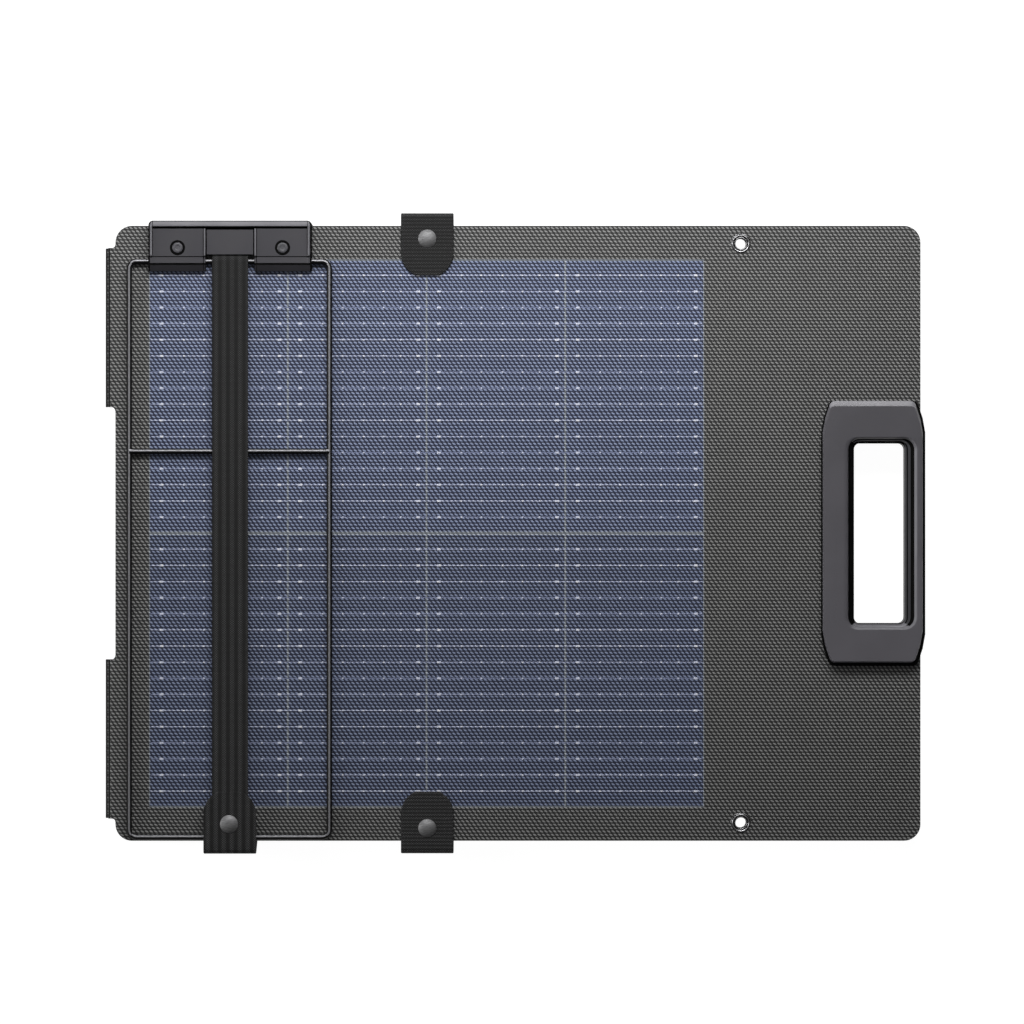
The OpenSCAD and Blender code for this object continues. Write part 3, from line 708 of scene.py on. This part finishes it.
def handle_shell(leaf):
    """A moulded grip frame: bevelled outline, flat deck, stepped and dished edge round the grip slot."""
    x0, x1 = handle_lo[0], handle_hi[0]
    y1 = handle_hi[1]
    cx, cy, bulge_x, bulge_y = 5.5, 21.0, 1.7, 11.5
    quarter = [(0, cy), (bulge_x, bulge_y), (cx, 0)]
    outline = [(x0 + a, -y1 + b) for a, b in quarter] + [(x1 - a, -y1 + b) for a, b in quarter[::-1]]
    outline += [(x1 - a, y1 - b) for a, b in quarter] + [(x0 + a, y1 - b) for a, b in quarter[::-1]]
    shape = Shape()
    # rings from the leaf up to the deck: inset along X, at +Y and at -Y, height, corner radius
    side = [(-0.25, 0, 0, 0, 4.5), (-0.25, 0, 0, 1.6, 4.5), (-0.25, 0, 0, 3.4, 4.5),
            (-0.2, 0.0, 0.05, 3.6, 4.5), (0.95, 0.0, 1.9, 3.65, 4.2), (1.0, 0.0, 2.0, 5.3, 4.2),
            (1.05, 0.12, 2.2, 5.6, 4.2), (1.1, 0.3, 2.5, 5.75, 4.2), (1.2, 2.9, 2.7, 6.9, 3.8),
            (1.4, 3.2, 2.9, 7.35, 3.6), (1.7, 3.6, 3.2, 7.5, 3.4)]
    shaded_flange_rings = 7                  # the flange and the edge over it, painted black as shade
    shift = 0.55                    # the body sits this far to -X on its flange
    bevel_y = y1 - 4.2              # the deck's upper bevel, painted as a highlight, starts here
    rings = []
    for ix, up, down, w, r in side:
        dx = shift if ix > 0 else 0
        rings.append(shape.ring([(x - dx, y, w) for x, y in rounded(outline, r, (ix, up, down))]))
    shape.loft(rings[:shaded_flange_rings], mat=1)
    for a, b in zip(rings[shaded_flange_rings - 1:], rings[shaded_flange_rings:]):
        # the upper bevel is painted as a highlight in material 3
        shape.painted(a, b, lambda x, y: 3 if y > bevel_y else 0)

    sx0, sy0 = SLOT[0]
    sx1, sy1 = SLOT[2]

    def slot_ring(left, right, ends, w, r):
        return shape.ring([(x, y, w) for x, y in rounded(
            rectangle(sx0 - left, sx1 + right, sy0 - ends, sy1 + ends), r, steps=8)])

    # rings from the deck down into the slot: how far outside it at the left, right and ends, height, radius
    dish = [(7.6, 8.2, 4.3, 7.5, 9), (6.3, 7.7, 4.0, 7.44, 8.6), (5.0, 7.1, 3.7, 7.22, 8.2),
            (4.1, 6.6, 3.4, 6.8, 7.8), (3.4, 5.8, 3.0, 6.0, 7.4), (3.0, 5.0, 2.7, 4.9, 7.0),
            (2.7, 3.4, 2.4, 4.5, 6.7), (1.7, 1.7, 1.7, 4.35, 5.6), (1.4, 1.5, 1.5, 4.1, 5.4),
            (1.2, 1.0, 1.3, 2.7, 5.2), (1.0, 0.8, 1.1, 2.4, 5.0), (0.3, 0.4, 0.3, 2.3, 4.3),
            (0, 0, 0, 2.0, 4.0), (0, 0, 0, -leaf.t, 4.0)]
    # material number of each step of the dish, on each of its four sides: 1 painted shade in black, 2
    # painted highlight, 3 brighter painted highlight, 4 darker plastic as painted shade
    paint = {"left": "0001111111111", "right": "0222114114441",
             "up": "0000110011111", "down": "0222203203011"}
    inner = [slot_ring(*d) for d in dish]
    for i, (a, b) in enumerate(zip(inner, inner[1:])):
        def finish(x, y):
            depth = {"left": sx0 - x, "right": x - sx1, "up": y - sy1, "down": sy0 - y}
            return int(paint[max(depth, key=depth.get)][i])
        shape.painted(a, b, finish)
    shape.fill(rings[-1], inner[0][::-1])
    wall = 2.5                      # of the collar that goes through the leaf
    collar = [slot_ring(wall, wall, wall, w, 5) for w in (-leaf.t, 0)]
    shape.loft([inner[-1]] + collar)
    shape.fill(rings[0], collar[-1][::-1], mat=1)
    return shape


for k in ENDS:
    piece(f"handle_shell_{k}", handle_shell(LEAVES[k]),
          [handle_plastic, painted_shade_black, highlight_plastic, bevel_highlight_plastic, inner_and_shade_plastic],
          f"leaf_{k}", [f"handle_outer_{k}"], LEAVES[k], angle=32)
    soften(f"handle_inner_{k}", 0.5, inner_and_shade_plastic)
    soften(f"handle_screws_{k}", 0.15, zinc)


# ---- Grommets ----

GROMMET_SHADE = (0, 3.7), (4.3, 4.9), (5.95, 6.3)        # radii between which a grommet is painted black as shade


def grommet_rings(leaf):
    """Both of a leaf's grommets: a rolled eyelet on each face, with its grooves and inner lip painted black
    as shade, round a straight bore.
    """
    shape = Shape()
    # (radius, height) from the bore outward
    roll = [(3.62, -0.4), (3.66, 0.12), (3.8, 0.38), (4.02, 0.46), (4.25, 0.38), (4.45, 0.3), (4.7, 0.38),
            (4.95, 0.6), (5.25, 0.8), (5.55, 0.84), (5.8, 0.72), (5.98, 0.46), (6.08, 0.22), (6.2, 0.16),
            (6.36, 0.24), (6.5, 0.2), (6.6, 0.08), (6.6, 0.0)]
    under = [(r, -leaf.t - h) for r, h in reversed(roll)]
    profile = roll + [(4.45, 0.0), (4.45, -leaf.t)] + under
    for s in (-1, 1):
        shape.revolve(profile, GROMMET_X, s * GROMMET_Y, n=48, joined=True)
    for i, ids in enumerate(shape.faces):
        x, y = (sum(shape.verts[v][axis] for v in ids) / len(ids) for axis in (0, 1))
        r = math.hypot(x - GROMMET_X, abs(y) - GROMMET_Y)
        # painted shade: faces in the grooves and at the bore go black
        shape.mats[i] = int(any(a < r < b for a, b in GROMMET_SHADE))
    return shape


for k in ENDS:
    piece(f"grommet_rings_{k}", grommet_rings(LEAVES[k]), [chrome, painted_shade_black], f"leaf_{k}",
          [f"grommets_{k}"], LEAVES[k], angle=50)


# ---- Kickstands ----

bail_lo, bail_hi = box_mm("bail_1")
WIRE_R = 1.8
WIRE_H = bail_lo[2] + WIRE_R - top.z
STAND_X0, STAND_X1 = bail_lo[0] + WIRE_R, bail_hi[0] - WIRE_R
STAND_Y0, STAND_Y1 = bail_lo[1] + WIRE_R, bail_hi[1] - WIRE_R
CROSS_Y = 54.4
strap_lo, strap_hi = box_mm("strap_1")
STRAP_X, STRAP_W = (strap_lo[0] + strap_hi[0]) / 2, strap_hi[0] - strap_lo[0]


def stand_wire():
    """The stand's closed loop, with a cross bar that thickens into its welds."""
    shape = Shape()
    bend = 5.0
    loop = rounded(rectangle(STAND_X0, STAND_X1, STAND_Y0, STAND_Y1), bend, steps=10)
    shape.tube([(x, y, WIRE_H) for x, y in loop], WIRE_R, closed=True)
    # (distance from the loop, radius)
    weld = [(0.0, 2.3), (1.0, 2.3), (1.9, 2.2), (2.6, 1.85), (3.2, WIRE_R)]
    ends = [(STAND_X0 + d, r) for d, r in weld] + [(STAND_X1 - d, r) for d, r in reversed(weld)]
    shape.tube([(x, CROSS_Y, WIRE_H) for x, _ in ends], WIRE_R, radii=[r for _, r in ends])
    return shape


def bracket_body():
    """The stand's bracket: a bevelled rim round two sunk panels, a pocket, and two sloping lobes."""
    lo, hi = box_mm("bracket_1")
    lip = 0.5
    x0, x1, y_low, y_top = lo[0] - lip, hi[0] + lip, lo[1], hi[1]
    lobe, radius, side_wall = 37.4 + lip, 3.0, 2.7
    step_y, lip_y = 184.5, 178.0    # where the lobes start to step down, and where their sloping lip starts
    band_y, band_w, pocket_w = y_top - 3.9, 7.5, 3.4
    # (distance from the outer side, height) over one lobe, and (y, height) from the top edge down
    across = [(0, 4.4), (0.45, 4.45), (0.9, 4.5), (1.05, 5.4), (1.35, 7.1), (1.6, 7.4), (2.2, 7.5),
              (2.6, 7.4), (2.85, 5.9), (radius, 5.8), (3.1, 5.8), (lobe - 1.5, 5.8), (lobe - 1.35, 5.2),
              (lobe - 1.15, 5.2), (lobe - 1.0, 7.4), (lobe, 7.4), (lobe + 0.1, pocket_w)]
    down = [(y_top, 5.0), (y_top - 0.5, 5.1), (y_top - 0.6, 5.9), (y_top - 1.3, 6.22), (y_top - 2.1, 6.6),
            (y_top - 2.95, 7.0), (y_top - 3.3, 7.45), (y_top - 3.75, 7.45), (band_y, 5.0),
            (y_top - 5.2, 5.0), (y_top - 5.35, 7.5), (step_y, 7.5), (183.9, 7.5), (183.75, 5.2),
            (183.35, 5.2), (183.2, 5.9), (179.4, 5.9), (179.25, 5.1), (178.15, 5.1), (177.95, 5.5),
            (y_low + 0.2, 3.5), (y_low, 3.3)]
    sides = [(x0 + d, h) for d, h in across] + [(x1 - d, h) for d, h in across]
    xs = sorted(sides + [((x0 + x1) / 2, pocket_w)])
    ys = sorted(down)

    def finish(edge, y):
        """Material number of the upper face at a distance from the nearer side: 1 painted shade in black, 2
        painted highlight, 3 the lip's painted shade.
        """
        below_band = y < y_top - 3.8
        groove_shade = 183.3 < y < 183.8 or lip_y < y < 179.3 or (y_top - 5.3 < y and below_band and edge > 2.6)
        rib_and_pocket_shade = below_band and (lobe - 1.5 < edge < lobe - 1.1 or edge > lobe)
        if groove_shade or rib_and_pocket_shade or edge < 1.0 or y > y_top - 0.55 or (2.6 < edge < 2.95 and y > step_y):
            return 1
        lit_walls = (1.0 < edge < 2.6 or lobe - 1.1 < edge < lobe) and step_y < y < y_top - 3.3
        if lit_walls or y_top - 3.8 < y < y_top - 0.5:
            return 2
        return 3 if y < lip_y else 0

    shape = Shape()
    grid, floor_grid = {}, {}
    for i, (x, hx) in enumerate(xs):
        for j, (y, hy) in enumerate(ys):
            px, py = x, y
            u, v = max(x0 + radius - x, x - x1 + radius, 0), max(y - y_top + radius, 0)
            if u > 0 and v > 0:
                pull = max(u, v) / math.hypot(u, v)
                px += (u * pull - u) * (-1 if x < 0.5 * (x0 + x1) else 1)
                py += v * pull - v
            edge = min(x - x0, x1 - x)
            if y > band_y + 0.01:
                w = min(hy, hx if edge < 2 else band_w)
            elif edge > lobe + 0.05:
                w = pocket_w
            elif edge < side_wall and y > step_y:
                w = hx
            else:
                w = min(hx, hy)
            grid[i, j] = shape.ring([(px, py, w)])[0]
            floor_grid[i, j] = shape.ring([(px, py, 0)])[0]
    used = set()
    for i in range(len(xs) - 1):
        for j in range(len(ys) - 1):
            x, y = (xs[i][0] + xs[i + 1][0]) / 2, (ys[j][0] + ys[j + 1][0]) / 2
            edge = min(x - x0, x1 - x)
            if edge > lobe and y < step_y:
                continue
            used.add((i, j))
            for level, order, mat in ((grid, 1, finish(edge, y)), (floor_grid, -1, 1)):
                ring = [level[i, j], level[i + 1, j], level[i + 1, j + 1], level[i, j + 1]]
                shape.face(ring[::order], mat)
    for i, j in used:
        for (di, dj), (a, b) in (((-1, 0), ((i, j), (i, j + 1))), ((1, 0), ((i + 1, j), (i + 1, j + 1))),
                                 ((0, -1), ((i, j), (i + 1, j))), ((0, 1), ((i, j + 1), (i + 1, j + 1)))):
            if (i + di, j + dj) not in used:
                # side walls facing along X are painted black as shade
                shape.face((grid[a], grid[b], floor_grid[b], floor_grid[a]), 1 if di else 0)
    return shape


def cover_plate():
    """The plate over the strap's end, on two feet, with a dark gap round it."""
    lo, hi = box_mm("bracket_cover_1")
    gap, gap_top, foot, foot_h = 0.35, 1.5, 1.8, 1.7
    x0, x1, y0, y1 = lo[0] + gap, hi[0] - gap, lo[1], hi[1] - gap_top
    w0, w1 = lo[2] - top.z, hi[2] - top.z
    shape = Shape()
    shape.block(x0, x1, y0, y1, w0 + foot_h, w1, edge=0.3)
    for x in (x0, x1 - foot):
        shape.block(x, x + foot, y0 + 0.4, y1 - 0.4, w0, w0 + foot_h + 0.1)
    return shape


RIVET_R = 3.8
# (radius, height) of the black rings round the rivets on the sunk panels, painted shade, and of the rivets
# with their shanks
RIVET_SHADE_RING = [(3.0, 5.5), (3.0, 5.9), (4.9, 5.9), (5.05, 5.85), (5.1, 5.7), (5.1, 5.5)]
RIVET = [(0, 6.15), (1.1, 6.15), (1.3, 6.32), (2.4, 6.38), (3.1, 6.3), (3.4, 6.1), (3.5, 5.8),
         (3.5, 5.5), (2.0, 5.5), (2.0, -2.6), (0, -2.6)]


def at_rivets(profile, joined=False):
    """One turned shape at each of a bracket's two rivets."""
    lo, hi = box_mm("bracket_rivets_1")
    shape = Shape()
    for x in (lo[0] + RIVET_R, hi[0] - RIVET_R):
        shape.revolve(profile, x, (lo[1] + hi[1]) / 2, joined=joined)
    return shape


WEB_T = 1.2


def webbing_strip(path, half_width, x, uv_start=0.0):
    """A flat woven strip along (y, z) points, with soft edges. half_width is a function of the length."""
    shape = Shape()
    along = uv_start
    rings = []
    h = WEB_T / 2
    for i, (y, z) in enumerate(path):
        before, after = path[max(0, i - 1)], path[min(len(path) - 1, i + 1)]
        d = Vector((after[0] - before[0], after[1] - before[1])).normalized()
        ny, nz = -d.y, d.x
        if i:
            along += math.hypot(y - path[i - 1][0], z - path[i - 1][1])
        half = half_width(along - uv_start)
        flat = half - 0.6
        soft = 0.82 if i in (0, len(path) - 1) else 1.0
        upper = [(-flat + 2 * flat * j / 6, 1) for j in range(7)]
        upper = [(-half + 0.18, 0.62)] + upper + [(half - 0.18, 0.62)]
        cross = [(-half, 0)] + upper + [(half, 0)] + [(u, -v) for u, v in reversed(upper)]
        rings.append(shape.ring([(x + u, y + ny * v * h * soft, z + nz * v * h * soft) for u, v in cross],
                                [(u, along) for u, v in cross]))
    shape.loft(rings)
    shape.face(rings[0][::-1])
    shape.face(rings[-1])
    return shape


FREE_Y, FREE_W, STRAP_SAG = 180.0, 5.3, 0.45        # where the strap comes free, its height and its sag


def strap_path():
    """(y, z) points of a hold-down strap, from under the bracket's cover to past the bottom bar."""
    path = [(190.0, 4.3), (187.0, 4.3), (185.2, 4.32), (184.4, 4.42), (183.6, 4.72), (182.8, 5.04),
            (182.0, 5.25), (181.2, FREE_W)]
    y = FREE_Y
    end = STAND_Y0 - WIRE_R
    while y > end + 3:
        held_at = STAND_Y0 if y < CROSS_Y else FREE_Y
        share = (CROSS_Y - y) / (CROSS_Y - held_at)
        path.append((y, FREE_W - STRAP_SAG * (4 * share * (1 - share))))
        y -= 6
    return path + [(end + 1.0, FREE_W), (end, FREE_W)]


def strip_length(path):
    return sum(math.hypot(q[0] - p[0], q[1] - p[1]) for p, q in zip(path, path[1:]))


for k in ENDS:
    leaf = LEAVES[k]
    piece(f"stand_wire_{k}", stand_wire(), [powder, wire_painted_highlight], f"kickstand_{k}", [f"bail_{k}"],
          leaf, angle=60)
    path = strap_path()
    made = piece(f"strap_web_{k}", webbing_strip(path, lambda a: STRAP_W / 2, STRAP_X), [webbing], None,
                 [f"strap_{k}"], leaf, angle=60)
    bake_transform(made)
    # the bracket's outline, grooves and pocket are painted black as shade, its rim and walls as a
    # highlight, its lip as shade
    piece(f"bracket_body_{k}", bracket_body(), [bracket_plastic, painted_shade_black, highlight_plastic, lip_shade_plastic],
          f"leaf_{k}", [f"bracket_{k}"], leaf, angle=28)
    piece(f"cover_plate_{k}", cover_plate(), [bracket_plastic], f"leaf_{k}",
          [f"bracket_cover_{k}"], leaf)
    # painted shade: a black ring round each rivet for its dark outline
    piece(f"rivet_shade_rings_{k}", at_rivets(RIVET_SHADE_RING, joined=True), [painted_shade_black], f"leaf_{k}",
          (), leaf)
    piece(f"rivet_heads_{k}", at_rivets(RIVET), [rivet_plastic], f"leaf_{k}",
          [f"bracket_rivets_{k}"], leaf)
    soften(f"strap_snap_{k}", 0.3, enamel)
    soften(f"studs_{k}", 0.3, plated)


# ---- Closing tabs ----

def bent(points, radii):
    """A path through (y, z) points with its corners rounded."""
    path = [points[0]]
    for before, here, after, r in zip(points, points[1:], points[2:], radii):
        path += arc(before, here, after, r, 8)
    return path + [points[-1]]


def dense(path):
    """A path with points added, no further apart than 2.5 mm."""
    out = [path[0]]
    for p, q in zip(path, path[1:]):
        n = max(1, math.ceil(strip_length((p, q)) / 2.5))
        out += [(p[0] + (q[0] - p[0]) * i / n, p[1] + (q[1] - p[1]) * i / n) for i in range(1, n + 1)]
    return out


SEWN_Y = 203.2                      # end of a tab that is sewn to leaf 4
FOOT = (205.2, 9.0)                 # (y, z) where a tab turns up at leaf 4's edge
TAB_OUT = {"top": 214.3, "bottom": 214.3, "left": 213.2}       # y where a tab turns over leaf 1
TAB_BENDS = [1.0, 2.4]              # radii at those two turns
TAB_HALF_W = 17.5
SPLIT_SHARE = 0.6                   # a tab's side piece goes this far up the pack's side
OVER_Y = 212.0                      # the line where a tab's end turns
TIP_STEPS = (13, 11.2, 9.8, 8.5, 7.3, 6.1, 5.0, 4.0, 3.0, 2.4, 1.8, 1.3, 0.9, 0.4, 0)
# (distance from the tip, how much narrower than the tab each side is there)
TIP_ROUND = [(0, 9.0), (0.9, 8.0), (1.8, 6.6), (3.0, 5.0), (5.0, 3.1), (7.3, 1.75), (9.8, 0.7),
             (12.6, 0.0)]
CAP_R, CAP_SKIRT = 6.0, 0.2         # radius of a snap cap, and height of the straight edge below its dome


def snap_cap(name, low, base):
    """A domed cap on a tab whose lower and upper faces are at low and base, with its post through it."""
    lo, hi = box_mm(f"tab_{name}_cap")
    h = hi[2] - base
    profile = [(0, hi[2])]
    for i in range(1, 13):
        share = i / 12.15
        profile.append((CAP_R * share, base + CAP_SKIRT + (h - CAP_SKIRT) * (1 - share ** 2.4)))
    profile += [(CAP_R, base + 0.18), (CAP_R - 0.1, base + 0.03), (5.4, base - 0.02), (3.8, base - 0.02),
                (3.8, low), (3.2, low), (3.2, base + 0.3), (0, base + 0.3)]
    dome = Shape()
    dome.revolve(profile, (lo[0] + hi[0]) / 2, (lo[1] + hi[1]) / 2, n=48)
    piece(f"tab_{name}_dome", dome, [enamel], f"{name}_tab_end", [f"tab_{name}_cap"], angle=40)


def closing_tab(name, s):
    """A tab's webbing in two pieces and its cap. s is the side of the pack it comes round, 1 for +Y."""
    end_lo, end_hi = box_mm(f"tab_{name}_end")
    x = (end_lo[0] + end_hi[0]) / 2
    z = (end_lo[2] + end_hi[2]) / 2
    tip = min(abs(end_lo[1]), abs(end_hi[1]))
    corner = (TAB_OUT[name], z)
    rise = Vector((corner[0] - FOOT[0], corner[1] - FOOT[1]))
    whole = dense(bent([(SEWN_Y, FOOT[1]), FOOT, corner, (tip, z)], TAB_BENDS))
    split_z = FOOT[1] + SPLIT_SHARE * rise.y
    split_at = min(range(len(whole) // 2 + 1), key=lambda i: abs(whole[i][1] - split_z))
    side_path = whole[:split_at + 1]
    end_path = [p for p in whole[split_at:] if p[0] > tip + 14] + [(tip + d, z) for d in TIP_STEPS]
    total = strip_length(end_path)

    def tip_width(a):
        left = max(0, total - a)
        for (a0, in0), (a1, in1) in zip(TIP_ROUND, TIP_ROUND[1:]):
            if left < a1:
                return TAB_HALF_W - in0 - (in1 - in0) * (left - a0) / (a1 - a0)
        return TAB_HALF_W

    up = rise.normalized()
    # name, path, width, start of its pattern, two bodies and two points
    parts = (
        ("side", side_path, lambda a: TAB_HALF_W, 0, ("leaf_4", f"{name}_tab_side"),
         (FOOT[0] - 1.0, FOOT[1]), (FOOT[0] + up.x * 3, FOOT[1] + up.y * 3)),
        ("end", end_path, tip_width, strip_length(side_path), (f"{name}_tab_side", f"{name}_tab_end"),
         (OVER_Y - up.x * 4, z - up.y * 4), (OVER_Y - 4, z)))
    for part, path, width, uv_start, bodies, a, b in parts:
        shape = webbing_strip([(s * y, w) for y, w in path], width, x, uv_start)
        made = piece(f"tab_{name}_web_{part}", shape, [webbing if name == "left" else tab_webbing], None,
                     [f"tab_{name}_{part}"], angle=60)
        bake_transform(made)
    snap_cap(name, end_lo[2], end_hi[2])


for tab, side_of_pack in (("top", 1), ("bottom", -1), ("left", -1)):
    closing_tab(tab, side_of_pack)


# ---- Junction box ----

soften("junction_box", 0.5, box_plastic)
soften("junction_lid", 0.4, box_plastic)
soften("output_gland", 0.25, gland_rubber)


# ---- Floor, light, camera ----

def area_light(name, at, aim, size, power):
    data = bpy.data.lights.new(name, "AREA")
    data.shape = "RECTANGLE"
    data.size, data.size_y = size
    data.energy = power
    o = bpy.data.objects.new(name, data)
    bpy.context.scene.collection.objects.link(o)
    o.location = at
    o.rotation_euler = (Vector(aim) - Vector(at)).to_track_quat("-Z", "Y").to_euler()


FLOOR_HALF, FLOOR_Z = 40, -0.0005   # metres
floor_mesh = bpy.data.meshes.new("floor")
floor_mesh.from_pydata([(x * FLOOR_HALF, y * FLOOR_HALF, FLOOR_Z) for x, y in rectangle(-1, 1, -1, 1)],
                       [], [(0, 1, 2, 3)])
ground = Paint("floor", roughness=0.9, specular=0.1)
ground.colour(ground.mix(ground.noise(3, 2), srgb(128), srgb(134)))
ground.bsdf.inputs["Emission Color"].default_value = (1, 1, 1, 1)
ground.bsdf.inputs["Emission Strength"].default_value = 0.97
floor_mesh.materials.append(ground.mat)
floor = bpy.data.objects.new("floor", floor_mesh)
bpy.context.scene.collection.objects.link(floor)

area_light("key", (0.0, 0.62, 0.55), (0, -0.02, 0), (1.0, 0.26), 7)
area_light("side", (-5.2, 0.6, 1.68), (0, 0, 0), (1.2, 3.2), 105)
area_light("overhead", (0.0, 0.15, 1.9), (0, 0, 0), (0.6, 0.6), 1)
world = bpy.data.worlds.new("studio")
bpy.context.scene.world = world
world.use_nodes = True
background = world.node_tree.nodes["Background"]
background.inputs["Color"].default_value = (1, 1, 1, 1)
background.inputs["Strength"].default_value = 0.06

scene = bpy.context.scene
scene.view_settings.view_transform = "Standard"
scene.view_settings.look = "None"
view = bpy.data.cameras.new("camera")
view.lens = 200
view.sensor_width = 36
VIEW_WIDTH = 0.6804                 # metres that the picture shows across at the top leaf's back face
VIEW_CENTRE = -0.0017, 0.01415
distance = VIEW_WIDTH / view.sensor_width * view.lens
camera = bpy.data.objects.new("camera", view)
scene.collection.objects.link(camera)
camera.location = (*VIEW_CENTRE, top.z * MM + distance)
view.clip_start, view.clip_end = 0.05, 100
scene.camera = camera
